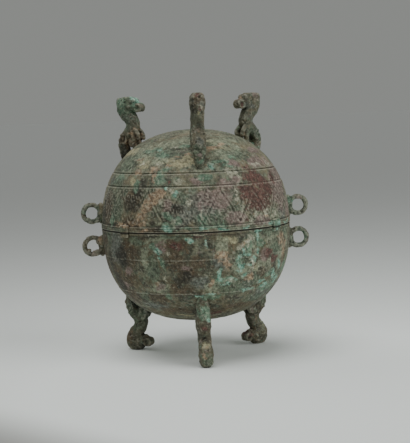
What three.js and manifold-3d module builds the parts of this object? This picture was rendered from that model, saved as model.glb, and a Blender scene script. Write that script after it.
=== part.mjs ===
// A dui: a covered food vessel of cast bronze, nearly a sphere, made of a bowl and a lid.
// The bowl stands on three S-shaped beasts, and the lid carries three more, so that it can stand upside down.
// Each half has two ring handles, and four tabs under the lid's rim keep it in place on the bowl.
// Millimetres, +Z up. The origin is on the vessel's axis at floor level, and the front leg is towards -Y.

import * as THREE from "three";
import { mergeVertices } from "three/addons/utils/BufferGeometryUtils.js";
import Module from "manifold-3d";

const wasm = await Module();
wasm.setup();

// Driving sizes of the round body. Heights in each half are measured from the seam, towards its pole.
const bodyRadius = 90;
const wallThickness = 3;
const seamHeight = 125;
const seamGap = 0.3;
const rimChamfer = 0.5;
const segmentsRound = 40;
const segmentsCavity = 24;

// What differs between the lid and the bowl. Fullness 2 is an ellipse, and more is squarer in the shoulder.
const lidForm = {
  rise: 91.5,
  fullness: 2.27,
  rimBand: { height: 5.5, proud: 0.6 },
  bandGrooves: [41.8, 53.6],
  poleGrooves: [34],
  zigzag: { waves: 16, low: 9, high: 38, radius: 0.9, sides: 3, steps: 2 },
  ringHeight: 15,
  beastWidth: 0.95,
  muzzleHeight: 114,
  earOffset: 5.6,
  beastLeans: [0, 0, 0],
  hasTabs: true,
};
const bowlForm = {
  rise: 90.7,
  fullness: 2.4,
  rimBand: { height: 2.2, proud: 0.2 },
  bandGrooves: [26, 58],
  poleGrooves: [47],
  zigzag: null,
  ringHeight: 16.5,
  beastWidth: 0.94,
  muzzleHeight: 116.8,
  earOffset: 4.5,
  beastLeans: [2, 0, 0],
  hasTabs: false,
};

// Incised lines around the body.
const grooveHalfWidth = 0.8;
const grooveDepth = 0.7;

// Ring handles, with the stub that joins each one to the wall.
const ring = { reach: 99.3, radius: 8.1, tube: 2.4, stubRadius: 3, stubLength: 9 };

// Tabs under the lid's rim, set between the legs and the rings.
const tab = { width: 10, top: 7.5, bottom: -4, inner: 90.4, outer: 92.6, root: 88.2 };
const tabAngles = [40, 140, 220, 320];

// The beasts stand a third of a turn apart, the first one at the front. Their crowns are ground flat.
const beastAngles = [-90, 30, 150];
const crownHeight = 125;
const sectionSides = 8;
const sectionSquareness = 2.7;
const ribSpans = 15;

// Each rib of a beast runs from its outer edge to its inner edge: reach and height of both, and half the width.
const beastRibs = [
  { outer: [74.4, 55], inner: [66, 58], half: 3.2 }, // tail, in the wall
  { outer: [77.6, 67], inner: [68, 68.5], half: 6.2 }, // foot of the haunch
  { outer: [79.4, 78.5], inner: [69.6, 79], half: 6.7 }, // haunch
  { outer: [76.6, 89], inner: [63.4, 86.5], half: 6.7 }, // back and belly
  { outer: [70.2, 97.3], inner: [57.2, 95.5], half: 6.5 }, // waist and chest
  { outer: [76.4, 104.6], inner: [59.4, 105], half: 6.6 }, // nape and throat
  { outer: [80.5, 114], inner: [62.2, 109.2], half: 6.9 }, // back of the head
  { outer: [77.6, 123.2], inner: [61.4, 110], half: 6.7 }, // back of the crown
  { outer: [67, 126], inner: [60.5, 110], half: 6.6 }, // front of the crown
  { outer: [61, 122.4], inner: [59.2, 109.8], half: 5.4 }, // brow
  { outer: [57, 118.6], inner: [57, 111], half: 3.8 }, // nose
];
const muzzle = { reach: 56.8, radius: 4.7, length: 9.6, sides: 8 };
const ear = { reach: 73.2, height: 115.4, halfSize: [5.4, 2.4, 6.2], columns: 6, rows: 3 };
const foreleg = {
  radius: 3.1,
  flatness: 0.8,
  sides: 5,
  steps: 4,
  path: [
    [63, 2.8, 95],
    [60.4, 4.2, 89],
    [58.8, 5, 82.6],
    [59, 5, 74],
  ],
};

const radians = THREE.MathUtils.degToRad;

// A solid for cutting and joining, from a closed three.js geometry.
function solidOf(geometry) {
  const bare = new THREE.BufferGeometry();
  bare.setAttribute("position", geometry.getAttribute("position").clone());
  if (geometry.index) bare.setIndex(geometry.index.clone());
  const merged = mergeVertices(bare, 1e-4);
  return new wasm.Manifold(
    new wasm.Mesh({
      numProp: 3,
      vertProperties: merged.getAttribute("position").array,
      triVerts: new Uint32Array(merged.index.array),
    }),
  );
}

// The finished solid as a geometry with flat faces.
function geometryOf(solid) {
  const made = solid.getMesh();
  const geometry = new THREE.BufferGeometry();
  geometry.setAttribute("position", new THREE.BufferAttribute(made.vertProperties, 3));
  geometry.setIndex(new THREE.BufferAttribute(made.triVerts, 1));
  const flat = geometry.toNonIndexed();
  flat.computeVertexNormals();
  return flat;
}

// A point of the rounded profile: angle 0 is the seam and a quarter turn is the pole. inset moves it inwards.
function profilePoint(form, angle, inset = 0) {
  const power = 2 / form.fullness;
  return new THREE.Vector2(
    (bodyRadius - inset) * Math.max(Math.cos(angle), 0) ** power,
    (form.rise - inset) * Math.max(Math.sin(angle), 0) ** power,
  );
}

const angleAtHeight = (form, height) => Math.asin((height / form.rise) ** (form.fullness / 2));
const angleAtRadius = (form, radius) => Math.acos((radius / bodyRadius) ** (form.fullness / 2));

// The three points of an incised line at an angle of the profile: edge, bottom and edge.
function groovePoints(form, angle) {
  const small = 1e-3;
  const before = profilePoint(form, angle - small);
  const after = profilePoint(form, angle + small);
  const along = after.clone().sub(before);
  const turn = (grooveHalfWidth / along.length()) * 2 * small;
  const inwards = new THREE.Vector2(-along.y, along.x).normalize().multiplyScalar(grooveDepth);
  return [
    profilePoint(form, angle - turn),
    profilePoint(form, angle).add(inwards),
    profilePoint(form, angle + turn),
  ];
}

// The outside of one half, from the rim to the pole, with its rim band and incised lines.
function outerProfile(form) {
  const grooves = [
    ...form.bandGrooves.map((height) => angleAtHeight(form, height)),
    ...form.poleGrooves.map((radius) => angleAtRadius(form, radius)),
  ].sort((a, b) => a - b);
  const band = form.rimBand;
  const bandRadius = bodyRadius + band.proud;
  const rim = seamGap / 2;
  const start = angleAtHeight(form, band.height + band.proud);
  const points = [
    new THREE.Vector2(0, rim),
    new THREE.Vector2(bandRadius - rimChamfer, rim),
    new THREE.Vector2(bandRadius, rim + rimChamfer),
    new THREE.Vector2(bandRadius, band.height),
    profilePoint(form, start),
  ];
  const steps = 8;
  const clearOfGroove = radians(4);
  for (let i = 1; i <= steps; i++) {
    const from = start + ((Math.PI / 2 - start) * (i - 1)) / steps;
    const to = start + ((Math.PI / 2 - start) * i) / steps;
    for (const angle of grooves)
      if (angle > from && angle <= to) points.push(...groovePoints(form, angle));
    if (i < steps && grooves.every((angle) => Math.abs(angle - to) > clearOfGroove))
      points.push(profilePoint(form, to));
  }
  points.push(new THREE.Vector2(0, form.rise));
  return points;
}

// The hollow of one half, from below the seam to its own pole.
function cavityProfile(form) {
  const points = [new THREE.Vector2(0, -1), new THREE.Vector2(bodyRadius - wallThickness, -1)];
  const steps = 7;
  for (let i = 0; i < steps; i++)
    points.push(profilePoint(form, (Math.PI / 2) * (i / steps), wallThickness));
  points.push(new THREE.Vector2(0, form.rise - wallThickness));
  return points;
}

// A profile turned about +Z.
const turned = (profile, segments) => new THREE.LatheGeometry(profile, segments).rotateX(Math.PI / 2);

// A round bar with few sides along a curve.
function bar(points, radius, sides, steps) {
  const section = new THREE.Shape();
  for (let k = 0; k < sides; k++) {
    const angle = (k / sides) * 2 * Math.PI;
    const [x, y] = [radius * Math.cos(angle), radius * Math.sin(angle)];
    if (k) section.lineTo(x, y);
    else section.moveTo(x, y);
  }
  section.closePath();
  const extrudePath = new THREE.CatmullRomCurve3(points);
  return new THREE.ExtrudeGeometry(section, { steps, extrudePath, bevelEnabled: false });
}

// The strokes of the zigzag that frames the whorls of the lid's band, up and down all the way round.
function zigzagStrokes(form) {
  const { waves, low, high, radius, sides, steps } = form.zigzag;
  const surfacePoint = (turn, height) => {
    const reach = profilePoint(form, angleAtHeight(form, height)).x;
    return new THREE.Vector3(reach * Math.cos(turn), reach * Math.sin(turn), height);
  };
  const strokes = [];
  for (let i = 0; i < waves * 2; i++) {
    const [first, last] = i % 2 ? [high, low] : [low, high];
    const points = [0, 0.33, 0.67, 1].map((share) =>
      surfacePoint(((i + share) * Math.PI) / waves, THREE.MathUtils.lerp(first, last, share)),
    );
    strokes.push(bar(points, radius, sides, steps));
  }
  return strokes;
}

// Ribs between the named ones, along a smooth curve through each edge.
function smoothRibs() {
  const curveOf = (edge) =>
    new THREE.SplineCurve(beastRibs.map((rib) => new THREE.Vector2(...rib[edge])));
  const [outer, inner] = [curveOf("outer"), curveOf("inner")];
  const spans = beastRibs.length - 1;
  const ribs = [];
  for (let i = 0; i <= ribSpans; i++) {
    const at = i / ribSpans;
    const span = Math.min(Math.floor(at * spans), spans - 1);
    const share = at * spans - span;
    const half = THREE.MathUtils.lerp(beastRibs[span].half, beastRibs[span + 1].half, share);
    ribs.push({ outer: outer.getPoint(at), inner: inner.getPoint(at), half });
  }
  return ribs;
}

// The beast's body: rounded sections on the ribs, joined into one skin and closed at both ends.
function beastBody(width) {
  const bend = (value) => Math.sign(value) * Math.abs(value) ** (2 / sectionSquareness);
  const places = [];
  const faces = [];
  const ribs = smoothRibs();
  for (const rib of ribs) {
    const middle = rib.outer.clone().add(rib.inner).multiplyScalar(0.5);
    const reach = rib.outer.clone().sub(middle);
    for (let k = 0; k < sectionSides; k++) {
      const angle = ((k + 0.5) / sectionSides) * 2 * Math.PI;
      const [along, across] = [bend(Math.cos(angle)), bend(Math.sin(angle))];
      places.push(middle.x + reach.x * along, rib.half * width * across, middle.y + reach.y * along);
    }
  }
  for (let i = 0; i + 1 < ribs.length; i++)
    for (let k = 0; k < sectionSides; k++) {
      const next = (k + 1) % sectionSides;
      const [a, b] = [i * sectionSides + k, i * sectionSides + next];
      const [c, d] = [a + sectionSides, b + sectionSides];
      faces.push(a, b, c, b, d, c);
    }
  const last = (ribs.length - 1) * sectionSides;
  for (let k = 1; k + 1 < sectionSides; k++) {
    faces.push(0, k + 1, k);
    faces.push(last, last + k, last + k + 1);
  }
  const geometry = new THREE.BufferGeometry();
  geometry.setAttribute("position", new THREE.Float32BufferAttribute(places, 3));
  geometry.setIndex(faces);
  return geometry;
}

// The curled tip of the snout lies across the beast.
function beastMuzzle(form) {
  const length = muzzle.length * form.beastWidth;
  const curl = new THREE.CylinderGeometry(muzzle.radius, muzzle.radius, length, muzzle.sides);
  return curl.translate(muzzle.reach, 0, form.muzzleHeight);
}

// An oval ear on the side of the head. side is 1 or -1, for this and for the foreleg.
function beastEar(side, form) {
  const oval = new THREE.SphereGeometry(1, ear.columns, ear.rows).scale(...ear.halfSize);
  return oval.translate(ear.reach, form.earOffset * side * form.beastWidth, ear.height);
}

// A bent foreleg that comes down from the chest to the vessel's wall.
function beastForeleg(side) {
  const points = foreleg.path.map(([reach, across, height]) => new THREE.Vector3(reach, across * side, height));
  return bar(points, foreleg.radius, foreleg.sides, foreleg.steps).scale(1, foreleg.flatness, 1);
}

// The pieces of one beast on the +X side of the axis. It leans sideways about its crown by an angle.
function beastPieces(form, lean) {
  const pieces = [
    beastBody(form.beastWidth),
    beastMuzzle(form),
    beastEar(1, form),
    beastEar(-1, form),
    beastForeleg(1),
    beastForeleg(-1),
  ];
  for (const piece of pieces)
    piece.translate(0, 0, -crownHeight).rotateX(radians(lean)).translate(0, 0, crownHeight);
  return pieces;
}

// A ring handle on the +X side, in the plane of the axis, with its stub.
function ringPieces(height) {
  const loop = new THREE.TorusGeometry(ring.radius, ring.tube, 6, 12).rotateX(Math.PI / 2);
  const stub = new THREE.CylinderGeometry(ring.stubRadius, ring.stubRadius, ring.stubLength, 6);
  const stubMiddle = ring.reach - ring.radius - ring.stubLength / 2 + ring.tube / 2;
  return [
    loop.translate(ring.reach, 0, height),
    stub.rotateZ(Math.PI / 2).translate(stubMiddle, 0, height),
  ];
}

// A tab on the +X side: its root is in the lid's rim and its lip hangs just outside the bowl.
function tabPieces() {
  const block = (inner, bottom) =>
    new THREE.BoxGeometry(tab.outer - inner, tab.width, tab.top - bottom).translate(
      (tab.outer + inner) / 2,
      0,
      (tab.top + bottom) / 2,
    );
  return [block(tab.root, seamGap / 2 + rimChamfer), block(tab.inner, tab.bottom)];
}

// All that is above the crowns, to cut them flat.
function aboveCrowns() {
  const thickness = 10;
  const width = bodyRadius * 2.4;
  return new THREE.BoxGeometry(width, width, thickness).translate(0, 0, crownHeight + thickness / 2);
}

const turnedAbout = (pieces, degrees) => pieces.map((piece) => piece.rotateZ(radians(degrees)));

// One half of the vessel with its pole upwards and the seam at height 0.
function castHalf(form) {
  const joined = [];
  beastAngles.forEach((angle, i) => joined.push(...turnedAbout(beastPieces(form, form.beastLeans[i]), angle)));
  for (const angle of [0, 180]) joined.push(...turnedAbout(ringPieces(form.ringHeight), angle));
  if (form.hasTabs) for (const angle of tabAngles) joined.push(...turnedAbout(tabPieces(), angle));

  const cuts = form.zigzag ? zigzagStrokes(form) : [];
  let half = solidOf(turned(outerProfile(form), segmentsRound));
  for (const cut of cuts) half = half.subtract(solidOf(cut));
  for (const piece of joined) half = half.add(solidOf(piece));
  for (const cut of [aboveCrowns(), turned(cavityProfile(form), segmentsCavity)])
    half = half.subtract(solidOf(cut));
  return geometryOf(half);
}

const bowl = new THREE.Mesh(
  castHalf(bowlForm),
  new THREE.MeshStandardMaterial({ color: 0x585b4c, roughness: 0.85, metalness: 0.1 }),
);
bowl.name = "bowl";
bowl.rotation.y = Math.PI;
bowl.position.z = seamHeight;

const lid = new THREE.Mesh(
  castHalf(lidForm),
  new THREE.MeshStandardMaterial({ color: 0x6d7163, roughness: 0.85, metalness: 0.1 }),
);
lid.name = "lid";
lid.position.z = seamHeight;

const vessel = new THREE.Group();
vessel.add(bowl, lid);

export default vessel;
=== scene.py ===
import math
import random

import bmesh
import bpy
import numpy as np
from mathutils import Matrix, Vector, noise


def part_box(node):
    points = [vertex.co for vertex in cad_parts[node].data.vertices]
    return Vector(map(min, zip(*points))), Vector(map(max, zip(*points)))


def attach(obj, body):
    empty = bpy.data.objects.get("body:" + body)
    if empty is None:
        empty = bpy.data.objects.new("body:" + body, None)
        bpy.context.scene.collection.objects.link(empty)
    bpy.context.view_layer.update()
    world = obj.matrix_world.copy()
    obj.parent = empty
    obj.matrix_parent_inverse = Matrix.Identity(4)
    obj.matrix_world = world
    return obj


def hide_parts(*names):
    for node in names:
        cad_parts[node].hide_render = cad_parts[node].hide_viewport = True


# A dui, a covered food vessel of bronze with a thick patina: a bowl on three beasts and a matching lid.
# Sizes are millimetres until a mesh is placed. Heights in each half are measured from the seam to its pole.
# Azimuths are degrees from the front leg, growing to the right.

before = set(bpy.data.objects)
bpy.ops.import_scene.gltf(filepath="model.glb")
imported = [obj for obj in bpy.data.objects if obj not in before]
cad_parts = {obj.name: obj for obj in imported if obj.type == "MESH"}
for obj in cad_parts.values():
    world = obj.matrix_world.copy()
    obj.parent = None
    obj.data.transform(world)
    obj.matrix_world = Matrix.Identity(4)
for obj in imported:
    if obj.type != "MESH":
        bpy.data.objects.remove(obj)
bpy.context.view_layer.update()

MM = 0.001
BODY_RADIUS = 90.0
WALL = 3.0
SEAM_Z = 125.0
SEAM_GAP = 0.3
CROWN_HEIGHT = 125.0
TURN_STEPS = 404
CAVITY_STEPS = 96
CAVITY_ROWS = 25
CAVITY_OVERCUT = 4
PROFILE_POINTS = 2000

LID = {
    "name": "lid",
    "up": 1,
    "rise": 91.5,
    "fullness": 2.27,
    "band_height": 5.5,
    "band_proud": 0.6,
    "chamfer": 1.1,
    "rim_grooves": (2.1, 3.9),
    "grooves": (41.8, 53.6),
    "groove_depth": 0.75,
    "curl_depth": 0.24,
    "crispness": 0.95,
    "pole_grooves": (38, 34, 30, 26, 22),
    "ring_height": 15.0,
    "beast_width": 0.95,
    "ear_offset": 5.6,
    "snout_height": 114,
    "brow_reach": 62.4,
    "crest_reach": 76.4,
    "leans": (0, 0, 0),
}
BOWL = {
    "name": "bowl",
    "up": -1,
    "rise": 90.7,
    "fullness": 2.4,
    "band_height": 2.2,
    "band_proud": 0.2,
    "chamfer": 0.5,
    "rim_grooves": (),
    "grooves": (26, 58),
    "groove_depth": 0.2,
    "curl_depth": 0.16,
    "crispness": 0.7,
    "pole_grooves": (47, 42),
    "ring_height": 16.5,
    "beast_width": 0.94,
    "ear_offset": 4.5,
    "snout_height": 116.8,
    "brow_reach": 66,
    "crest_reach": 73,
    "leans": (2, 0, 0),
}
RING = {"reach": 99.3, "radius": 8.1, "tube": 2.4, "stub": 3.0, "stub_length": 9.0}
RING_WEB = {"reach": 90.5, "half_sizes": (4.0, 2.3, 10.6)}
TAB = {"width": 10.0, "top": 7.5, "bottom": -4.0, "inner": 90.4, "outer": 92.5, "root": 88.2}
BEAST_TURNS = (-90, 30, 150)
RING_TURNS = (0, 180)
TAB_TURNS = (40, 140, 220, 320)
VOXELS = {"beast": 0.74, "ring": 0.78, "tab": 0.65}

NOISE_SEED = 5
noise.seed_set(NOISE_SEED)  # noise_vector takes its offsets from the clock otherwise


# Small helpers for meshes

def deselect_all():
    bpy.ops.object.select_all(action="DESELECT")


def active(piece):
    deselect_all()
    piece.select_set(True)
    bpy.context.view_layer.objects.active = piece
    return piece


def apply_modifier(piece, kind, **settings):
    active(piece)
    modifier = piece.modifiers.new(kind.lower(), kind)
    for name, value in settings.items():
        setattr(modifier, name, value)
    bpy.ops.object.modifier_apply(modifier=modifier.name)


def join(pieces, name):
    active(pieces[0])
    for piece in pieces[1:]:
        piece.select_set(True)
    bpy.ops.object.join()
    pieces[0].name = name
    return pieces[0]


def settle(piece):
    """Puts the object's own place into its mesh."""
    active(piece)
    bpy.ops.object.transform_apply(location=True, rotation=True, scale=True)
    return piece


def face_outwards(piece):
    active(piece)
    bpy.ops.object.mode_set(mode="EDIT")
    bpy.ops.mesh.select_all(action="SELECT")
    bpy.ops.mesh.remove_doubles(threshold=1e-7)
    bpy.ops.mesh.normals_make_consistent(inside=False)
    bpy.ops.object.mode_set(mode="OBJECT")
    return piece


def copy_turned(piece, degrees, lean=0):
    """A copy with its own mesh, leaning about its crown and then turned about the axis."""
    twin = piece.copy()
    twin.data = piece.data.copy()
    bpy.context.collection.objects.link(twin)
    crown = Matrix.Translation((0, 0, CROWN_HEIGHT * MM))
    tilt = crown @ Matrix.Rotation(math.radians(lean), 4, "X") @ crown.inverted()
    twin.data.transform(Matrix.Rotation(math.radians(degrees), 4, "Z") @ tilt)
    return twin


def coordinates(mesh):
    places = np.empty(len(mesh.vertices) * 3)
    mesh.vertices.foreach_get("co", places)
    return places.reshape(-1, 3)


def set_coordinates(mesh, places):
    mesh.vertices.foreach_set("co", places.ravel())
    mesh.update()


def smoothstep(low, high, value):
    share = np.clip((value - low) / (high - low), 0, 1)
    return share * share * (3 - 2 * share)


def noise_field(places, size, shift=0.0):
    """Smooth noise from -1 to 1 at each place in millimetres, with features of about the given size."""
    scaled = places / size + shift
    return np.array([noise.noise(Vector(p)) for p in scaled])


# The round body

def meridian(form, inset=0.0):
    """Arc, radius and height along the half's profile, from the seam to the pole."""
    angle = np.linspace(0, math.pi / 2, PROFILE_POINTS)
    power = 2 / form["fullness"]
    radius = (BODY_RADIUS - inset) * np.cos(angle).clip(0) ** power
    height = (form["rise"] - inset) * np.sin(angle) ** power
    arc = np.concatenate([[0], np.cumsum(np.hypot(np.diff(radius), np.diff(height)))])
    return arc, radius, height


def surface_arc(form, radius, height):
    """The arc at which places belong to the profile, from their radius and height."""
    half_power = form["fullness"] / 2
    across = (np.abs(radius) / BODY_RADIUS) ** half_power
    along = (np.clip(height, 0, None) / form["rise"]) ** half_power
    angle = np.arctan2(along, across)
    return np.interp(angle, np.linspace(0, math.pi / 2, PROFILE_POINTS), meridian(form)[0])


def groove_arcs(form):
    """Where the grooves round the body and those near the pole lie along the profile."""
    arc, radius, height = meridian(form)
    band = [float(np.interp(h, height, arc)) for h in form["grooves"]]
    pole = [float(np.interp(-r, -radius, arc)) for r in form["pole_grooves"]]
    return band, pole


RIM_FLAT = 12
RIM_ROW = 0.42
RIM_GROOVE = {"depth": 0.35, "half_width": 0.4}
BODY_ROW = {"fine": 1.1, "coarse": 1.7, "fine_up_to": 50, "last": 2.5}
GROOVE_ROW = {"band": 0.42, "pole": 0.7, "clear": 0.6}


def outer_profile(form):
    """Points of the outside from the axis at the rim, over the rim band and up to the pole."""
    arc, radius, height = meridian(form)
    band, pole = groove_arcs(form)
    band_radius = BODY_RADIUS + form["band_proud"]
    rim = SEAM_GAP / 2
    chamfer = form["chamfer"]
    points = [(0, rim), (band_radius - RIM_FLAT, rim), (band_radius - chamfer, rim)]
    points += [(band_radius - chamfer / 3, rim + chamfer / 2), (band_radius, rim + chamfer)]
    for step in np.arange(chamfer + 0.45, form["band_height"] - 0.2, RIM_ROW):
        dip = sum(RIM_GROOVE["depth"] * math.exp(-((step - groove) / RIM_GROOVE["half_width"]) ** 2)
                  for groove in form["rim_grooves"])
        points.append((band_radius - dip, rim + step))
    points.append((band_radius, form["band_height"]))
    start = float(np.interp(form["band_height"] + form["band_proud"], height, arc))
    rows = [start]
    while rows[-1] < arc[-1] - BODY_ROW["last"]:
        rows.append(rows[-1] + BODY_ROW["fine" if rows[-1] < BODY_ROW["fine_up_to"] else "coarse"])
    across_grooves = [groove + k * GROOVE_ROW["band"] for groove in band for k in range(-3, 4)]
    across_grooves += [groove + k * GROOVE_ROW["pole"] for groove in pole for k in range(-2, 3)]
    rows = [row for row in rows if all(abs(row - own) > GROOVE_ROW["clear"] for own in across_grooves)]
    rows += across_grooves
    for row in sorted(rows):
        if row >= start:
            points.append((float(np.interp(row, arc, radius)), float(np.interp(row, arc, height))))
    points.append((0, form["rise"]))
    return points


def cavity_profile(form):
    arc, radius, height = meridian(form, WALL)
    rows = np.linspace(0, arc[-1], CAVITY_ROWS + 1)[:-1]
    points = [(0, -CAVITY_OVERCUT), (BODY_RADIUS - WALL, -CAVITY_OVERCUT)]
    points += [(float(np.interp(row, arc, radius)), float(np.interp(row, arc, height))) for row in rows]
    points.append((0, form["rise"] - WALL))
    return points


def turned(name, profile, steps):
    """Draws a point along the profile by extruding it, and spins the line about the axis."""
    deselect_all()
    bpy.ops.mesh.primitive_plane_add(size=MM, enter_editmode=True)
    bpy.ops.mesh.merge(type="CENTER")
    start = Vector((profile[0][0], 0, profile[0][1])) * MM
    bpy.ops.transform.translate(value=start)
    for (r0, z0), (r1, z1) in zip(profile, profile[1:]):
        step = Vector((r1 - r0, 0, z1 - z0)) * MM
        bpy.ops.mesh.extrude_region_move(TRANSFORM_OT_translate={"value": step})
    bpy.ops.mesh.select_all(action="SELECT")
    bpy.ops.mesh.spin(steps=steps, angle=2 * math.pi, center=(0, 0, 0), axis=(0, 0, 1))
    bpy.ops.object.mode_set(mode="OBJECT")
    piece = bpy.context.object
    piece.name = name
    return face_outwards(piece)


# The relief of the outside, in millimetres outwards

ZIGZAG = {"waves": 16, "low": 9.0, "high": 38.0, "fade": 3, "slant": 0.52, "depth": 0.42, "border": 0.22}
WHORLS = {"count": 76, "pitch": 7.4, "winding": 0.4}
GROOVE = {"half_width": 0.62, "lip": 0.18, "lip_below": 1.3, "lip_half_width": 0.6}
POLE_GROOVE = {"depth": 0.4, "half_width": 0.7}
CURLS_ABOVE_BAND = 0.2


def zigzag(angle, height):
    """A framed zigzag groove round the decorated band."""
    wave = (angle / (2 * math.pi) * ZIGZAG["waves"]) % 1
    line = ZIGZAG["low"] + (1 - np.abs(2 * wave - 1)) * (ZIGZAG["high"] - ZIGZAG["low"])
    distance = np.abs(height - line) * ZIGZAG["slant"]
    inside = smoothstep(ZIGZAG["low"] - ZIGZAG["fade"], ZIGZAG["low"], height)
    inside *= 1 - smoothstep(ZIGZAG["high"], ZIGZAG["high"] + ZIGZAG["fade"], height)
    groove = -ZIGZAG["depth"] * (1 - smoothstep(0.25, 0.9, distance))
    border = ZIGZAG["border"] * np.exp(-((distance - 1.5) / 0.45) ** 2)
    return (groove + border) * inside, smoothstep(1.9, 2.7, distance)


def whorls(angle, arc):
    """Rows of small spirals, each turned its own way. Runs from -1 to 1."""
    count, pitch = WHORLS["count"], WHORLS["pitch"]
    row = np.floor(arc / pitch)
    up = arc / pitch - row - 0.5
    place = angle / (2 * math.pi) * count + 0.5 * (row % 2)
    column = np.floor(place)
    side = place - column - 0.5
    own = np.sin(row * 12.9898 + (column % count) * 78.233) * 43758.5453
    own = (own - np.floor(own)) * 2 * math.pi
    hand = np.where((row + column) % 2 == 0, 1, -1)
    spread = np.hypot(side, up)
    spiral = np.cos(np.arctan2(up, side) * hand + spread * 2 * math.pi / WHORLS["winding"] + own)
    return spiral * (1 - smoothstep(0.42, 0.68, spread))


def relief(form, angle, arc, height, drift):
    """The grooves, which stay crisp, and the cast pattern, which wear softens."""
    band, pole = groove_arcs(form)
    lines = np.zeros_like(arc)
    for groove in band:
        lip = (arc - groove + GROOVE["lip_below"]) / GROOVE["lip_half_width"]
        lines -= form["groove_depth"] * np.exp(-((arc - groove) / GROOVE["half_width"]) ** 2)
        lines += GROOVE["lip"] * np.exp(-lip ** 2)
    for groove in pole:
        lines -= POLE_GROOVE["depth"] * np.exp(-((arc - groove) / POLE_GROOVE["half_width"]) ** 2)
    curls = whorls(angle + drift[:, 0] / BODY_RADIUS, arc + drift[:, 1]) * form["curl_depth"]
    if form["up"] > 0:
        zigzags, free = zigzag(angle + 0.4 * drift[:, 0] / BODY_RADIUS, height)
        in_band = smoothstep(7, 9, arc) * (1 - smoothstep(band[0] - 3.5, band[0] - 1.5, arc))
        above = smoothstep(band[1] + 2, band[1] + 4, arc) * (1 - smoothstep(pole[0] - 5, pole[0] - 2, arc))
        return lines, zigzags + curls * (in_band * free + CURLS_ABOVE_BAND * above)
    in_band = smoothstep(4, 6, arc) * (1 - smoothstep(band[1] - 4, band[1] - 2, arc))
    return lines, curls * in_band


WEAR = {"patch": 15.0, "swing": 1.2, "least": 0.1, "most": 1.2}
BOWL_RIGHT_WEAR = 0.3
BURYING = {"earth": 0.8, "turquoise": 0.6, "malachite": 0.6, "cuprite": 0.8, "char": 0.5}
BURIED = {"lines": 0.7, "pattern": 0.6}


def strongest(masks, shares):
    """At each place the strongest of some kinds of corrosion, each with its own share."""
    return np.maximum.reduce([share * masks[kind] for kind, share in shares.items()])


def carve(piece, form):
    """Moves the outside's points along its normal by the relief, less where it is worn or buried."""
    places = coordinates(piece.data) / MM
    radius = np.hypot(places[:, 0], places[:, 1])
    height = places[:, 2]
    angle = np.arctan2(places[:, 1], places[:, 0])
    arc = surface_arc(form, radius, height)
    n_radius = (radius / BODY_RADIUS) ** (form["fullness"] - 1) / BODY_RADIUS
    n_height = (height.clip(0) / form["rise"]) ** (form["fullness"] - 1) / form["rise"]
    length = np.hypot(n_radius, n_height)
    drift = np.array([noise.noise_vector(Vector(p)) for p in places / 8.0]) * 1.7
    lines, pattern = relief(form, angle, arc, height, drift)
    wear = form["crispness"] + WEAR["swing"] * noise_field(places, WEAR["patch"], 3.1)
    wear = wear.clip(WEAR["least"], WEAR["most"])
    if form["up"] < 0:
        wear *= BOWL_RIGHT_WEAR + (1 - BOWL_RIGHT_WEAR) * smoothstep(-10, 40, -places[:, 0])
    buried = strongest(stain_masks(places * np.array((form["up"], 1, form["up"]))), BURYING)
    amount = lines * (1 - BURIED["lines"] * buried) + pattern * wear * (1 - BURIED["pattern"] * buried)
    amount *= smoothstep(form["band_height"], form["band_height"] + 1.5, height)
    places[:, 0] += np.cos(angle) * n_radius / length * amount
    places[:, 1] += np.sin(angle) * n_radius / length * amount
    places[:, 2] += n_height / length * amount
    set_coordinates(piece.data, places * MM)


# The beasts, made on the +X side of the axis: reach, across and height

RIBS = [
    # outer reach and height, inner reach and height, half the width
    ((74.4, 55), (66, 58), 3.2),
    ((77.6, 67), (68, 68.5), 6.2),
    ((79.4, 78.5), (69.6, 79), 6.7),
    ((76.6, 89), (63.4, 86.5), 6.7),
    ((70.2, 97.3), (57.2, 95.5), 6.5),
    ((76.4, 104.6), (59.4, 105), 6.6),
    ((80.5, 114), (62.2, 109.2), 6.9),
    ((78, 123.4), (61.4, 110), 6.7),
]
FACE_RIBS = {
    "lid": [((67, 126), (60.5, 110), 6.6), ((61, 122.6), (59.4, 109.8), 5.4),
            ((57.4, 119.4), (57.2, 111), 3.8)],
    "bowl": [((68, 126.4), (61, 110), 6.6), ((62.8, 123.6), (60.2, 109.8), 5.8),
             ((60.6, 119.4), (59, 109.8), 4.6), ((57.2, 118), (57, 111), 3.8)],
}
BODY_SIDES = 20
BODY_SPANS = 32
BODY_SQUARENESS = 2.7
ARM_PATH = [(65.5, 2.4, 97), (62.6, 3.8, 90), (61, 4.4, 83), (60.6, 4.2, 74)]
CLAW_PATH = [(63, 3, 94), (58.8, 4.6, 91), (56.2, 5, 87.4), (55.8, 4.6, 84.4)]
SNOUT = {"reach": 56.6, "radius": 4.5, "length": 9.2}
NOSTRIL = {"across": 4.3, "radius": 3.2, "tube": 1.3}
SPUR = ((79.4, 0, 77.6), (2.2, 2.6, 2.8))
CHEST = ((65.5, 0, 93), (4.5, 4.6, 5))
PAW = ((56.2, 4.6, 84.8), (2.6, 2.2, 2.4))
HAUNCH_SCROLL = {"middle": (73.8, 83), "across": 6.1, "start": 1.2, "turns": 1.4, "size": 5.2}
CHEEK_SCROLL = {"middle": (71.5, 113.6), "across": 6.6, "start": -2.4, "turns": 1.2, "size": 3.4}


def catmull(points, share):
    """A point on a smooth curve through the given points, share running from 0 to 1."""
    last = len(points) - 1
    place = min(share * last, last - 1e-9)
    i = int(place)
    t = place - i
    p0, p1, p2, p3 = (np.array(points[min(max(i + k, 0), last)], float) for k in (-1, 0, 1, 2))
    return 0.5 * ((2 * p1) + (p2 - p0) * t + (2 * p0 - 5 * p1 + 4 * p2 - p3) * t**2
                  + (3 * p1 - p0 - 3 * p2 + p3) * t**3)


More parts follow.
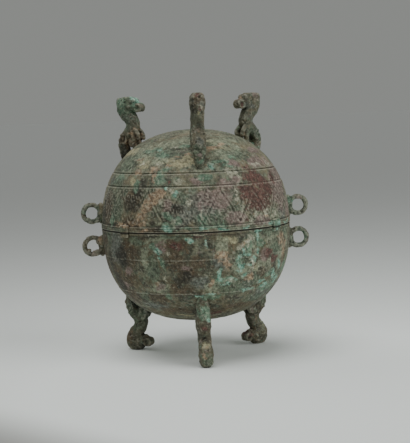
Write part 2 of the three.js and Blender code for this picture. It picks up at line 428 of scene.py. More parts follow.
def section_frame(middle, along, across, through):
    """The matrix that puts a unit ring on a section: its middle, two half axes and its normal."""
    columns = [Vector(along) * MM, Vector(across) * MM, Vector(through).normalized() * MM]
    matrix = Matrix.Identity(4)
    for i, column in enumerate(columns):
        for j in range(3):
            matrix[j][i] = column[j]
    return Matrix.Translation(Vector(middle) * MM) @ matrix


def lofted(frames, sides, squareness=2.0):
    """A ring drawn from one section to the next by extruding, closed at both ends."""
    deselect_all()
    bpy.ops.mesh.primitive_circle_add(vertices=sides, radius=1, fill_type="NGON", enter_editmode=True)
    piece = bpy.context.object
    grid = bmesh.from_edit_mesh(piece.data)
    for vertex in grid.verts:
        for axis in (0, 1):
            value = vertex.co[axis]
            vertex.co[axis] = math.copysign(abs(value) ** (2 / squareness), value)
        vertex.co = frames[0] @ vertex.co
    bmesh.update_edit_mesh(piece.data)
    for before, after in zip(frames, frames[1:]):
        bpy.ops.mesh.extrude_region_move()
        grid = bmesh.from_edit_mesh(piece.data)
        change = after @ before.inverted()
        for vertex in grid.verts:
            if vertex.select:
                vertex.co = change @ vertex.co
        bmesh.update_edit_mesh(piece.data)
    bpy.ops.object.mode_set(mode="OBJECT")
    return face_outwards(piece)


def beast_body(form):
    frames = []
    ribs = RIBS + FACE_RIBS[form["name"]]
    for i in range(BODY_SPANS + 1):
        share = i / BODY_SPANS
        outer = catmull([rib[0] for rib in ribs], share)
        inner = catmull([rib[1] for rib in ribs], share)
        half = float(catmull([(rib[2],) for rib in ribs], share)[0]) * form["beast_width"]
        middle = (outer + inner) / 2
        along = outer - middle
        frames.append(section_frame(
            (middle[0], 0, middle[1]), (along[0], 0, along[1]), (0, half, 0), (-along[1], 0, along[0])))
    return lofted(frames, BODY_SIDES, BODY_SQUARENESS)


def bar(path, radii, sides=10, spans=10):
    """A round bar along a path, with its radius changing from one end to the other."""
    frames = []
    for i in range(spans + 1):
        share = i / spans
        here = catmull(path, share)
        ahead = catmull(path, min(share + 0.02, 1)) - catmull(path, max(share - 0.02, 0))
        through = Vector(ahead).normalized()
        side = through.cross(Vector((0, 1, 0))).normalized()
        radius = radii[0] + (radii[1] - radii[0]) * share
        frames.append(section_frame(here, side * radius, side.cross(through) * -radius, through))
    return lofted(frames, sides)


def placed(add, middle, **settings):
    """A primitive added with its middle at a place."""
    deselect_all()
    add(location=Vector(middle) * MM, **settings)
    return settle(bpy.context.object)


def ball(middle, half_sizes):
    return placed(bpy.ops.mesh.primitive_uv_sphere_add, middle, segments=18, ring_count=12, radius=MM,
                  scale=half_sizes)


def hoop(middle, radius, tube, steps=(24, 8)):
    return placed(bpy.ops.mesh.primitive_torus_add, middle, rotation=(math.pi / 2, 0, 0),
                  major_segments=steps[0], minor_segments=steps[1],
                  major_radius=radius * MM, minor_radius=tube * MM)


def rod(middle, radius, length, turn=(math.pi / 2, 0, 0), sides=24):
    return placed(bpy.ops.mesh.primitive_cylinder_add, middle, rotation=turn, vertices=sides,
                  radius=radius * MM, depth=length * MM)


def scroll(middle, across, start, turns, size, points=13):
    """Points of a flat spiral that winds in to its middle, on one side of a beast."""
    path = []
    for i in range(points):
        share = i / (points - 1)
        angle = start + turns * 2 * math.pi * share
        radius = size * (1 - 0.8 * share)
        path.append((middle[0] + radius * math.cos(angle), across, middle[1] + radius * math.sin(angle)))
    return path


def mirrored(path, side):
    return [(x, y * side, z) for x, y, z in path]


def melt(pieces, name):
    """Joins pieces and gives them one skin."""
    whole = join(pieces, name)
    apply_modifier(whole, "REMESH", mode="VOXEL", voxel_size=VOXELS[name] * MM, adaptivity=0)
    apply_modifier(whole, "SMOOTH", factor=0.5, iterations=3)
    return whole


def head_forms(form):
    """Ear, crest, brow and eye of one side: the middle of each and its half sizes."""
    return [
        ((73.2, form["ear_offset"], 115.4), (5.0, 2.2, 5.6)),
        ((form["crest_reach"], 3.2, 120.6), (3.4, 3.2, 4.0)),
        ((form["brow_reach"], 3.6, 120.4), (4.0, 3.2, 3.4)),
        ((65.0, 6.0, 115.2), (2.0, 1.4, 2.0)),
    ]


def beast(form):
    """One beast: body, curled snout, head, scrolls, arms and claws."""
    width = form["beast_width"]
    snout = form["snout_height"]
    pieces = [beast_body(form), rod((SNOUT["reach"], 0, snout), SNOUT["radius"], SNOUT["length"] * width)]
    pieces += [ball(*SPUR), ball(*CHEST)]
    for side in (1, -1):
        nostril = (SNOUT["reach"], NOSTRIL["across"] * side * width, snout)
        pieces.append(hoop(nostril, NOSTRIL["radius"], NOSTRIL["tube"]))
        for middle, half_sizes in head_forms(form):
            pieces.append(ball(mirrored([middle], side * width)[0], half_sizes))
        for winding, radii, spans in ((HAUNCH_SCROLL, (1.2, 0.9), 30), (CHEEK_SCROLL, (1.0, 0.8), 24)):
            path = scroll(**winding | {"across": winding["across"] * side * width})
            pieces.append(bar(path, radii, 8, spans))
        pieces.append(bar(mirrored(ARM_PATH, side), (3.4, 2.5)))
        pieces.append(bar(mirrored(CLAW_PATH, side), (2.6, 1.9)))
        pieces.append(ball(mirrored([PAW[0]], side)[0], PAW[1]))
    return melt(pieces, "beast")


def ring_handle(form):
    height = form["ring_height"]
    loop = hoop((RING["reach"], 0, height), RING["radius"], RING["tube"], steps=(48, 14))
    middle = RING["reach"] - RING["radius"] - RING["stub_length"] / 2 + RING["tube"] / 2
    stub = rod((middle, 0, height), RING["stub"], RING["stub_length"], (0, math.pi / 2, 0), 20)
    web = ball((RING_WEB["reach"], 0, height), RING_WEB["half_sizes"])
    return melt([loop, stub, web], "ring")


def rim_tab():
    """A tab whose root is in the lid's rim and whose lip hangs just outside the bowl."""
    blocks = []
    for inner, bottom in ((TAB["root"], SEAM_GAP / 2 + LID["chamfer"]), (TAB["inner"], TAB["bottom"])):
        size = (TAB["outer"] - inner, TAB["width"], TAB["top"] - bottom)
        middle = ((TAB["outer"] + inner) / 2, 0, (TAB["top"] + bottom) / 2)
        blocks.append(placed(bpy.ops.mesh.primitive_cube_add, middle, size=MM, scale=size))
    return melt(blocks, "tab")


LUMPS = {
    # azimuth, reach from the axis, distance to the right, height from the seam, half sizes across and up
    "lid": [
        (-120, 65.5, 0, 83, 4.4, 7.5), (-90, 103.6, 0, 9.2, 2.5, 2.1), (-90, 94.5, 0, 7.2, 3.2, 1.9),
        (90, 94.5, 0, 8.4, 2.8, 2.0),
    ],
    "bowl": [
        (-90, 103.4, 0, -20.8, 2.3, 2.0), (-90, 98, 0, -22.4, 2.6, 1.7), (-90, 94.6, 0, -12.4, 2.0, 2.6),
        (-90, 95.2, 0, -21.6, 3.0, 2.0), (90, 95.5, 0, -23.2, 3.0, 1.7),
    ],
}


def lump(form, azimuth, reach, across, height, wide, tall):
    """A rounded growth of corrosion, whose place on the vessel is turned to the half's own."""
    turn = math.radians(azimuth)
    x = math.sin(turn) * reach + math.cos(turn) * across
    y = math.sin(turn) * across - math.cos(turn) * reach
    return ball((x * form["up"], y, height * form["up"]), (wide, wide, tall))


def combine(piece, other, operation):
    apply_modifier(piece, "BOOLEAN", object=other, operation=operation, solver="MANIFOLD")
    bpy.data.objects.remove(other)


def cut_crowns(piece):
    """Cuts the crowns flat, where the vessel stands."""
    active(piece)
    bpy.ops.object.mode_set(mode="EDIT")
    bpy.ops.mesh.select_all(action="SELECT")
    bpy.ops.mesh.bisect(plane_co=(0, 0, CROWN_HEIGHT * MM), plane_no=(0, 0, 1), use_fill=True,
                        clear_outer=True)
    bpy.ops.object.mode_set(mode="OBJECT")


def cast_half(form):
    """One half with its pole up and the seam at height 0."""
    half = turned(form["name"] + "_cast", outer_profile(form), TURN_STEPS)
    carve(half, form)
    model = beast(form)
    beasts = [copy_turned(model, turn, lean) for turn, lean in zip(BEAST_TURNS, form["leans"])]
    bpy.data.objects.remove(model)
    handle = ring_handle(form)
    added = beasts + [copy_turned(handle, turn) for turn in RING_TURNS]
    bpy.data.objects.remove(handle)
    if form["up"] > 0:
        tab = rim_tab()
        added += [copy_turned(tab, turn) for turn in TAB_TURNS]
        bpy.data.objects.remove(tab)
    added += [lump(form, *place) for place in LUMPS[form["name"]]]
    combine(half, join(added, "added"), "UNION")
    cut_crowns(half)
    combine(half, turned("cavity", cavity_profile(form), CAVITY_STEPS), "DIFFERENCE")
    return half


# Patina: where each kind of corrosion lies

STAINS = {
    # on the body: azimuth in degrees, height from the seam, half the width and half the height in mm
    "straw": [
        (-75, 72, 20, 6), (-45, 60, 10, 4), (12, 80, 16, 5), (22, 74, 14, 4), (-25, 64, 10, 4),
        (-8, 66, 8, 6), (-48, 47, 4, 6), (-46, 64, 12, 6), (-14, 62, 12, 5), (150, 76, 30, 10),
        (-15, -80, 20, 3), (14, -8, 8, 4), (34, -36, 6, 5),
    ],
    "slate": [
        (-70, 47, 16, 6), (-74, 25, 16, 18), (-5, 22, 26, 16), (-14, 12, 14, 10), (60, 12, 12, 8),
        (-60, -15, 16, 20), (46, 46, 5, 5), (10, -26, 10, 8), (-3, -45, 12, 8), (50, -62, 16, 8),
        (-40, -70, 16, 8), (30, -50, 8, 6),
    ],
    "sage": [
        (-50, 72, 20, 12), (-20, 80, 26, 9), (-30, 66, 12, 6), (30, 80, 20, 10), (20, 68, 10, 8),
        (34, 72, 14, 8), (-64, 52, 14, 8), (30, -12, 12, 14), (48, -10, 12, 16), (24, -34, 12, 12),
        (40, -34, 12, 10), (56, -28, 10, 14), (10, -14, 8, 12), (66, -10, 8, 14), (-36, -26, 5, 20),
        (-30, -52, 10, 8), (-20, 10, 12, 5), (6, -50, 10, 6), (50, 10, 16, 5), (64, 56, 10, 8),
        (-28, -5, 12, 4), (-44, 66, 10, 5),
    ],
    "verdigris": [
        (-32, -34, 7, 18), (20, -52, 22, 9), (36, -44, 14, 10), (8, -42, 10, 7), (50, -20, 10, 8),
        (-62, 62, 16, 14), (-66, 44, 16, 8), (-40, 72, 14, 6), (4, 10, 20, 8), (30, 68, 14, 6),
        (28, -8, 8, 8), (-12, 32, 8, 8), (-58, 20, 10, 14), (-40, -62, 14, 8), (4, 78, 12, 6),
        (24, -24, 8, 10), (60, -50, 10, 12), (-70, -6, 8, 10), (-56, 3, 14, 3), (44, -4, 20, 4),
        (-24, 70, 10, 6), (-18, -4, 16, 3), (62, -6, 14, 6), (-42, -6, 10, 5), (44, -66, 18, 6),
        (62, -58, 10, 8),
    ],
    "umber": [
        (-76, -9, 12, 8), (-54, -43, 12, 8), (-17, -26, 12, 14), (-15, -10, 14, 6), (-45, 30, 14, 12),
        (12, -76, 14, 6), (-35, -62, 14, 8), (40, -40, 8, 6), (-82, -30, 12, 20), (-60, -60, 14, 10),
        (-45, 10, 14, 8), (-72, 20, 14, 20), (-48, -20, 14, 16), (-15, -52, 12, 10), (-22, -74, 20, 6),
        (-30, 3, 12, 4), (-10, -36, 12, 11), (-4, -26, 9, 8), (-15, -28, 8, 8), (34, -72, 18, 5),
        (-66, -40, 10, 14), (-10, 3, 8, 2),
    ],
    "mauve": [
        (8, 30, 20, 12), (60, 32, 18, 22), (68, 44, 16, 20), (16, 40, 12, 6), (-3, 46, 8, 4),
        (20, 12, 12, 7), (38, 8, 14, 5), (-10, -30, 5, 4), (62, 60, 12, 7), (-20, 24, 7, 7),
        (72, 14, 12, 12), (-25, -12, 6, 5), (22, 46, 7, 6), (48, 60, 16, 8), (40, -24, 8, 6),
        (-60, -50, 8, 5), (26, 60, 9, 5), (60, 70, 16, 5), (-52, -36, 7, 6), (-30, -50, 5, 5),
    ],
    "cuprite": [
        (37, 28, 20, 15), (36, 47, 12, 8), (48, 36, 10, 9), (29, 34, 10, 10), (42, 42, 13, 9),
        (38, 52, 9, 5), (27, 9, 3, 2), (-20, 45, 2.5, 2), (-16, -11, 7, 4), (44, -24, 8, 5),
        (50, -30, 7, 4), (-3, -2, 5, 1.5), (12, -78, 8, 4), (34, 56, 6, 3), (58, 44, 5, 8), (3, -1, 8, 1),
    ],
    "earth": [
        (-28, 34, 9, 5), (-31, 29, 8, 5), (-34, 23, 7, 6), (-38, 15, 7, 5), (-37, 9, 6, 3), (-31, 49, 3, 5),
        (-46, 54, 5, 3), (-19, 67, 5, 2), (12, 75, 9, 3), (22, 77, 8, 2), (10, -20, 8, 5), (13, -27, 6, 7),
        (4.5, -47, 3, 4), (57, -12, 7, 8), (62, -22, 6, 9), (30, -44, 5, 5), (-32, -47, 3, 3),
        (-26, 38, 6, 3), (25, -12, 6, 3), (-8, 70, 5, 2), (-52, 66, 8, 2), (42, 12, 3, 2), (-44, 9, 6, 3),
        (-52, 6, 9, 3), (-36, 3, 5, 2), (-33, 57, 6, 4), (-22, 60, 5, 3),
    ],
    "malachite": [
        (-47, 73, 9, 3), (-38, 75, 8, 3), (-30, 70, 8, 5), (-27, 50, 6, 8), (-23, 58, 6, 3),
        (-17, 34, 4, 6), (0, 6, 8, 4), (9, 6, 9, 3), (-14, 12, 4, 6), (3, 49, 9, 4), (26, 66, 5, 3),
        (8, 57, 7, 3), (16, 62, 8, 3), (-25, -28, 3, 8), (50, -56, 14, 6), (14, -45, 12, 5),
        (28, -16, 6, 6), (22, -30, 6, 7), (-26, -60, 4, 4), (-10, 77, 10, 3), (-21, 6, 8, 5),
        (4, -60, 12, 4), (-62, 50, 10, 4), (0, 14, 6, 5), (-21, 17, 5, 6), (-64, 12, 5, 8), (37, -12, 8, 5),
        (48, -44, 8, 4), (50, 4, 10, 4), (-30, -12, 6, 3), (-44, 42, 4, 8), (22, 58, 6, 3),
        (70, -40, 10, 10), (-10, 3, 8, 2),
    ],
    "turquoise": [
        (-27, -15, 4, 3.5), (1, -10, 2, 5), (21.5, -25, 2, 5), (23, -34, 3.5, 5), (31, -27, 3.5, 4),
        (27, -31, 4, 2), (9, -37, 2.5, 5), (10, -43, 3, 4), (34, -3, 4.5, 2), (54, -46, 5, 5),
        (47, -54, 6, 2.5), (32, -56, 9, 2.5), (-21, 4, 6, 3), (8, 58, 4, 4), (45, 4, 8, 3), (53, 2, 8, 3),
        (-8, -5, 5, 2), (-16, 35, 2, 4), (3, -56, 6, 2), (-22, 40, 3, 2.5), (28, -22, 3, 2),
        (18, -45, 7, 2), (58, -36, 4, 4), (12, 3, 8, 1.5), (-1, 4, 5, 1.5), (-34, 74, 5, 2),
        (26, -40, 3, 2), (50, -2, 6, 1.5), (24, -20, 1.6, 4), (35, -20, 1.6, 3), (33, -8, 2, 2.5),
        (20, -38, 3, 1.6), (60, -50, 4, 5), (42, -50, 6, 2), (-4, -58, 6, 1.5), (-27, -22, 2, 2),
        (65, 2, 8, 2), (25, 3, 6, 2), (14, -49, 5, 1.5),
    ],
    "cream": [
        (-23, 76, 5, 2), (-14, 47, 3.5, 4), (-19, 38, 3.5, 3), (25, 50, 2.5, 5), (20, 52, 4, 4),
        (42, 15, 4, 4), (46, 58, 9, 2.5), (-47, 62, 6, 2), (-21, -17, 1.8, 1.6), (22, 32, 1.3, 9),
        (24, 20, 1.3, 6), (30, 9, 3, 3), (64, 58, 7, 4), (-30, 62, 6, 2), (16, -46, 7, 2.5),
        (-30, -1.2, 10, 0.9), (-5, -1.3, 16, 0.9), (28, -9, 5, 7), (22, -15, 4, 4), (38, 10, 2, 5),
        (33, 14, 2, 4), (30, -30, 2.5, 7), (-24, -40, 2, 4), (0, 17, 2, 5), (-8, 28, 3, 5), (36, 2, 6, 1),
        (-25, 29, 3, 3), (50, 12, 4, 3),
    ],
    "char": [
        (-39, 46, 7, 6), (-42, 37, 9, 6), (-46, 26, 10, 9), (-16, -44, 6, 7), (-24, 4, 10, 4),
        (-16, 22, 8, 6), (-6, -56, 5, 2.5), (-27, -45, 3, 3), (-62, 6, 14, 4), (-56, -22, 10, 12),
        (-11, -40, 6, 8), (-25, -64, 3, 2.5), (-80, 14, 12, 14), (0, 68, 3, 3), (-70, -26, 7, 10),
        (-14, 4, 6, 2), (26, -64, 5, 2), (45, -2.2, 5, 1.6), (-36, -2, 7, 1.2), (-22, 14, 5, 8),
        (-68, -50, 10, 14), (-30, 10, 4, 4), (-30, -3, 8, 2), (38, -36, 3, 2), (2, 62, 2.5, 3),
    ],
}
LOOSE_STAINS = {
    # on beasts and rings: azimuth, reach from the axis, distance to the right, height from the seam, radius
    "sage": [(120, 74, 0, -110, 10), (0, 79, 0, -96, 8)],
    "straw": [(0, 80, 0, 107, 2.5), (120, 68, 0, -96, 6), (0, 80, -1, -100, 8), (120, 74, 0, -108, 7)],
    "verdigris": [
        (-120, 72, 0, 116, 14), (120, 70, 0, 84, 12), (-120, 70, 0, 100, 10), (0, 80, 0, 72, 10),
        (90, 99, 0, 16, 14), (-90, 99, 0, 12, 12), (90, 99, 0, -16, 12), (-120, 68, 0, -90, 16),
        (120, 70, 0, -80, 10), (0, 79, 0, -118, 8),
    ],
    "slate": [
        (-120, 68, 0, 103, 9), (0, 80, 4, 115, 5), (0, 80, -6, 118, 4), (0, 80, 0, 82, 7),
        (120, 66, 0, 112, 8), (120, 68, 0, 98, 9), (120, 75, 0, 86, 9), (-90, 99, 0, 15, 10),
        (90, 99, 0, 10, 8), (90, 99, 0, -17, 11), (-120, 70, 0, -80, 9),
    ],
    "umber": [
        (-120, 74, 0, 84, 10), (-120, 76, 0, 68, 9), (0, 80, 0, 95, 8), (0, 76, 0, 118, 9),
        (120, 77, 0, 116, 6), (-120, 74, 0, -112, 9), (120, 70, 0, -92, 8), (120, 76, 0, -112, 9),
        (-90, 99, 0, -18, 9), (0, 78, 0, -90, 7), (-90, 104, 0, 14, 6),
    ],
    "mauve": [
        (120, 72, 0, 120, 8), (0, 80, 1, 94, 7), (0, 80, 0, 68, 4), (90, 99, 0, 22, 5),
        (-90, 97, 0, -23, 4),
    ],
    "cuprite": [
        (0, 76, 0, 121, 4), (0, 80, 2, 112, 3), (-120, 66, 0, 93, 3), (120, 56, 0, 114, 5),
        (0, 77, -2, -88, 2.5), (0, 78, -4, -99, 3), (120, 56.5, 0, -113, 5), (120, 62, 0, -108, 3),
    ],
    "earth": [
        (-120, 62, 0, 87, 8), (-120, 68, 0, 79, 6), (0, 80, 0, 100, 3), (0, 80, 2, -104, 2.5),
        (0, 80, -2, -113, 2.5), (120, 68, 0, -102, 4), (120, 62, 0, -116, 5), (-90, 92, 0, -10, 5),
        (120, 60, 0, 119, 3),
    ],
    "malachite": [
        (-120, 76, 0, 117, 12), (-120, 62, 0, 115, 9), (0, 80, 0, 62, 6), (120, 76, 0, 66, 7),
        (0, 79, 0, -74, 9), (0, 80, 4, -104, 3), (120, 78, 0, -74, 9), (90, 92, 0, 20, 6),
        (-90, 105, 0, 17, 4), (90, 103, 0, -16, 5),
    ],
    "turquoise": [
        (-120, 61, 0, 121, 7), (-120, 72, 0, 123, 4), (120, 73, 0, 72, 5), (0, 80, 3, -79, 3),
        (0, 80, -3, -72, 2.5), (90, 91, 0, 19, 3),
    ],
    "cream": [
        (-120, 57, 0, 115, 2.5), (0, 73, 4.5, -89, 2), (0, 80, 3, 113, 2), (120, 62, 0, 88, 3),
        (0, 80, 0, -70, 1.5), (120, 81, 0, -111, 2.5), (120, 80, 0, -104, 2), (0, 80, 1, 66, 2.5),
        (120, 62, 0, 118, 2), (0, 79, 4, 88, 2),
    ],
    "char": [
        (-120, 58, 0, 109, 4), (-120, 60, 0, 84, 4), (0, 78, -4, 111, 5), (0, 76, 5, 68, 4),
        (120, 60, 0, 88, 4), (120, 67, 0, 80, 4), (0, 78, -1, -92, 4), (-120, 64, 0, -96, 6),
        (-120, 72, 0, -84, 6), (120, 62, 0, -90, 5), (0, 70, 0, -125, 6), (-90, 99, 0, 7, 5),
        (-90, 102, 0, -22, 5), (90, 104, 0, 9, 5), (-90, 106, 0, 18, 4), (90, 106, 0, -20, 4),
        (-120, 66, 0, -123, 7), (120, 66, 0, -124, 6),
    ],
}
STAIN_KINDS = tuple(STAINS)
UNSEEN_STAINS = 110
UNSEEN_SEED = 11
UNSEEN_AZIMUTHS = (102, 258)
UNSEEN_HEIGHTS = (-82, 84)
SMALL_KINDS = ("turquoise", "cream", "earth", "cuprite")


def stain_middle(azimuth, height):
    """The place on the body, with the directions around it, up the meridian and outwards."""
    form = LID if height > 0 else BOWL
    share = min(abs(height) / form["rise"], 0.999)
    radius = BODY_RADIUS * (1 - share ** form["fullness"]) ** (1 / form["fullness"])
    turn = math.radians(azimuth)
    outwards_flat = Vector((math.sin(turn), -math.cos(turn), 0))
    n_radius = (radius / BODY_RADIUS) ** (form["fullness"] - 1) / BODY_RADIUS
    n_height = math.copysign(share ** (form["fullness"] - 1) / form["rise"], height)
    outwards = (outwards_flat * n_radius + Vector((0, 0, n_height))).normalized()
    around = Vector((math.cos(turn), math.sin(turn), 0))
    return outwards_flat * radius + Vector((0, 0, height)), around, outwards.cross(around), outwards


def all_stains():
    """The stains that show from the front, and seeded ones in keeping on the sides that don't."""
    stains = [(kind, *stain) for kind in STAIN_KINDS for stain in STAINS[kind]]
    draw = random.Random(UNSEEN_SEED)
    for _ in range(UNSEEN_STAINS):
        kind = draw.choice(STAIN_KINDS)
        size = draw.uniform(2, 5) if kind in SMALL_KINDS else draw.uniform(4, 13)
        height = draw.uniform(*UNSEEN_HEIGHTS)
        azimuth = draw.uniform(*UNSEEN_AZIMUTHS)
        stains.append((kind, azimuth, height, size * draw.uniform(0.8, 2.0), size))
    return stains


def stain_masks(places):
    """How strongly each place is stained by each kind, from 0 to 1. Heights are from the seam."""
    drift = np.array([noise.noise_vector(Vector(p)) * 3.4 + noise.noise_vector(Vector(p * 3)) * 1.3
                      for p in places / 9.0])
    places = places + drift
    masks = {kind: np.zeros(len(places)) for kind in STAIN_KINDS}

    def lay(kind, reach):
        masks[kind] = np.maximum(masks[kind], 1 - smoothstep(0.3, 1.5, reach))

    for kind, azimuth, height, wide, tall in all_stains():
        middle, around, upwards, outwards = (np.array(v) for v in stain_middle(azimuth, height))
        away = places - middle
        deep = max(wide, tall, 5)
        shares = (away @ around / wide, away @ upwards / tall, away @ outwards / deep)
        lay(kind, np.sqrt(shares[0] ** 2 + shares[1] ** 2 + shares[2] ** 2))
    for kind in STAIN_KINDS:
        for azimuth, reach, across, height, size in LOOSE_STAINS[kind]:
            turn = math.radians(azimuth)
            middle = np.array((math.sin(turn) * reach + math.cos(turn) * across,
                               math.sin(turn) * across - math.cos(turn) * reach, height))
            lay(kind, np.linalg.norm(places - middle, axis=1) / size)
    return masks


def store(mesh, name, values):
    attribute = mesh.attributes.new(name, "FLOAT", "POINT")
    attribute.data.foreach_set("value", values.astype(np.float32))


def hollowness(mesh, places, normals, rounds):
    """How far each point lies below the mean of its neighbours, in millimetres."""
    edges = np.empty(len(mesh.edges) * 2, dtype=np.int32)
    mesh.edges.foreach_get("vertices", edges)
    a, b = edges.reshape(-1, 2).T
    count = np.bincount(a, minlength=len(places)) + np.bincount(b, minlength=len(places))
    smooth = places.copy()
    for _ in range(rounds):
        for axis in range(3):
            total = np.bincount(a, smooth[b, axis], len(places))
            total += np.bincount(b, smooth[a, axis], len(places))
            smooth[:, axis] = total / count
    return ((smooth - places) * normals).sum(1)


def normals_of(mesh):
    normals = np.empty(len(mesh.vertices) * 3)
    mesh.vertices.foreach_get("normal", normals)
    return normals.reshape(-1, 3)


def off_the_body(places, form):
    """1 on beasts and rings, 0 on the round body. Places are millimetres from the seam."""
    radius = np.hypot(places[:, 0], places[:, 1]) / BODY_RADIUS
    height = np.abs(places[:, 2]) / form["rise"]
    return smoothstep(1.03, 1.12, radius ** form["fullness"] + height ** form["fullness"])


CRUST_LAYERS = [
    # size of the lumps, shift of the noise, height on the body, more on beasts and rings
    (7.0, 0.0, 0.18, 0.0),
    (2.6, 9.2, 0.12, 0.16),
    (4.6, 13.3, 0.0, 0.45),
    (1.5, 4.4, 0.09, 0.0),
]
GROWTHS = {"turquoise": 1.0, "malachite": 0.6, "earth": 0.8}
GROWTH_HEIGHT = 0.9
PIT_DEPTH = 0.8


def crust_of(places, limbs, masks):
    """How far the skin is raised by crust and growths or eaten away by pits, in millimetres."""
    crust = np.zeros(len(places))
    for size, shift, height, more in CRUST_LAYERS:
        crust += (height + more * limbs) * noise_field(places, size, shift)
    lumps = np.clip(noise_field(places, 3.2, 7.7) + 0.1, 0, 1)
    pits = np.clip(noise_field(places, 3.0, 21.0) - 0.28, 0, 1)
    return crust + GROWTH_HEIGHT * lumps * strongest(masks, GROWTHS) - PIT_DEPTH * (1 + limbs) * pits


def calm_of(places, from_seam):
    """How much of the crust lies at each place: little near the seam, and none where the rims meet."""
    above_seam = np.abs(from_seam[:, 2])
    calm = 1 - 0.8 * (1 - smoothstep(0.6, 3.5, above_seam))
    radius = np.hypot(places[:, 0], places[:, 1])
    calm[(radius < BODY_RADIUS - 0.5) & (above_seam < 1)] = 0
    return calm


def corrode(piece, form):
    """Roughens the whole casting with crust and pits, and records hollows and the seam band, which the
    material paints with shade and highlight, and stains for the patina.
    """
    mesh = piece.data
    places = coordinates(mesh) / MM
    normals = normals_of(mesh)
    from_seam = places - np.array((0, 0, SEAM_Z))
    masks = stain_masks(from_seam)
    limbs = off_the_body(from_seam, form)
    amount = crust_of(places, limbs, masks) * calm_of(places, from_seam)
    places += normals * amount[:, None]
    low, high = (np.array(corner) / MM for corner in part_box(form["name"]))
    places = np.clip(places, low, high)
    set_coordinates(mesh, places * MM)
    normals = normals_of(mesh)
    # Hollows, ridges and the seam band, for painted shade and highlight in the material
    store(mesh, "hollow", hollowness(mesh, places, normals, 2))
    store(mesh, "broad_hollow", hollowness(mesh, places, normals, 10))
    height = np.abs(places[:, 2] - SEAM_Z)
    store(mesh, "seam", 1 - smoothstep(0.55 * form["chamfer"], 1.3 * form["chamfer"], height))
    store(mesh, "limbs", limbs)
    for kind in STAIN_KINDS:
        store(mesh, kind, masks[kind])


def place_half(form):
    """Puts a finished half in the vessel: the bowl is turned over, and both are raised to the seam."""
    half = cast_half(form)
    raised = Matrix.Translation((0, 0, SEAM_Z * MM))
    over = Matrix.Rotation(math.pi, 4, "Y") if form["up"] < 0 else Matrix.Identity(4)
    half.data.transform(raised @ over)
    half.data.update()
    corrode(half, form)
    active(half)
    bpy.ops.object.shade_smooth_by_angle(angle=math.radians(50))
    return half


# Materials

def linear(hex_colour):
    """A colour as written for a screen, in the linear values that a shader takes."""
    parts = [int(hex_colour[i:i + 2], 16) / 255 for i in (0, 2, 4)]
    return tuple(c / 12.92 if c <= 0.04045 else ((c + 0.055) / 1.055) ** 2.4 for c in parts) + (1.0,)


class Shader:
    """A material's nodes, with short calls for what the patina uses."""

    def __init__(self, name):
        self.material = bpy.data.materials.new(name)
        self.material.use_nodes = True
        self.tree = self.material.node_tree
        self.surface = self.tree.nodes["Principled BSDF"]
        self.place = self.tree.nodes.new("ShaderNodeTexCoord").outputs["Object"]

    def node(self, kind, **settings):
        made = self.tree.nodes.new(kind)
        for name, value in settings.items():
            setattr(made, name, value)
        return made

    def feed(self, socket, value):
        if isinstance(value, bpy.types.NodeSocket):
            self.tree.links.new(value, socket)
        else:
            socket.default_value = value

    def grain(self, size, detail=3.0, roughness=0.55, shift=0.0):
        """Noise from 0 to 1 with features of about the given size in millimetres."""
        place = self.node("ShaderNodeMapping")
        self.feed(place.inputs["Vector"], self.place)
        place.inputs["Location"].default_value = (shift, shift * 0.7, -shift)
        texture = self.node("ShaderNodeTexNoise")
        self.feed(texture.inputs["Vector"], place.outputs["Vector"])
        texture.inputs["Scale"].default_value = 1 / (size * MM)
        texture.inputs["Detail"].default_value = detail
        texture.inputs["Roughness"].default_value = roughness
        return texture.outputs["Fac"]

    def value(self, operation, a, b=0.0):
        made = self.node("ShaderNodeMath", operation=operation)
        self.feed(made.inputs[0], a)
        self.feed(made.inputs[1], b)
        return made.outputs[0]

    def times(self, a, b):
        return self.value("MULTIPLY", a, b)

    def plus(self, a, b):
        return self.value("ADD", a, b)

    def step(self, value, low, high):
        """0 below the low value and 1 above the high one, with a smooth rise between."""
        made = self.node("ShaderNodeMapRange", interpolation_type="SMOOTHSTEP")
        self.feed(made.inputs["Value"], value)
        made.inputs["From Min"].default_value = low
        made.inputs["From Max"].default_value = high
        return made.outputs["Result"]

    def attribute(self, name):
        return self.node("ShaderNodeAttribute", attribute_name=name).outputs["Fac"]

    def mix(self, share, a, b):
        made = self.node("ShaderNodeMix", data_type="RGBA")
        self.feed(made.inputs["Factor"], share)
        self.feed(made.inputs[6], a)
        self.feed(made.inputs[7], b)
        return made.outputs[2]

    def scaled(self, colour, factor):
        """The colour made lighter or darker by the factor."""
        made = self.node("ShaderNodeVectorMath", operation="SCALE")
        self.feed(made.inputs[0], colour)
        self.feed(made.inputs["Scale"], factor)
        return made.outputs[0]

    def tones(self, share, dark, light):
        return self.mix(share, linear(dark), linear(light))

    def tinted(self, colour, share, strength, tint):
        """The colour with a tint laid over it, by a share that the strength cuts down."""
        return self.mix(self.times(share, strength), colour, linear(tint))


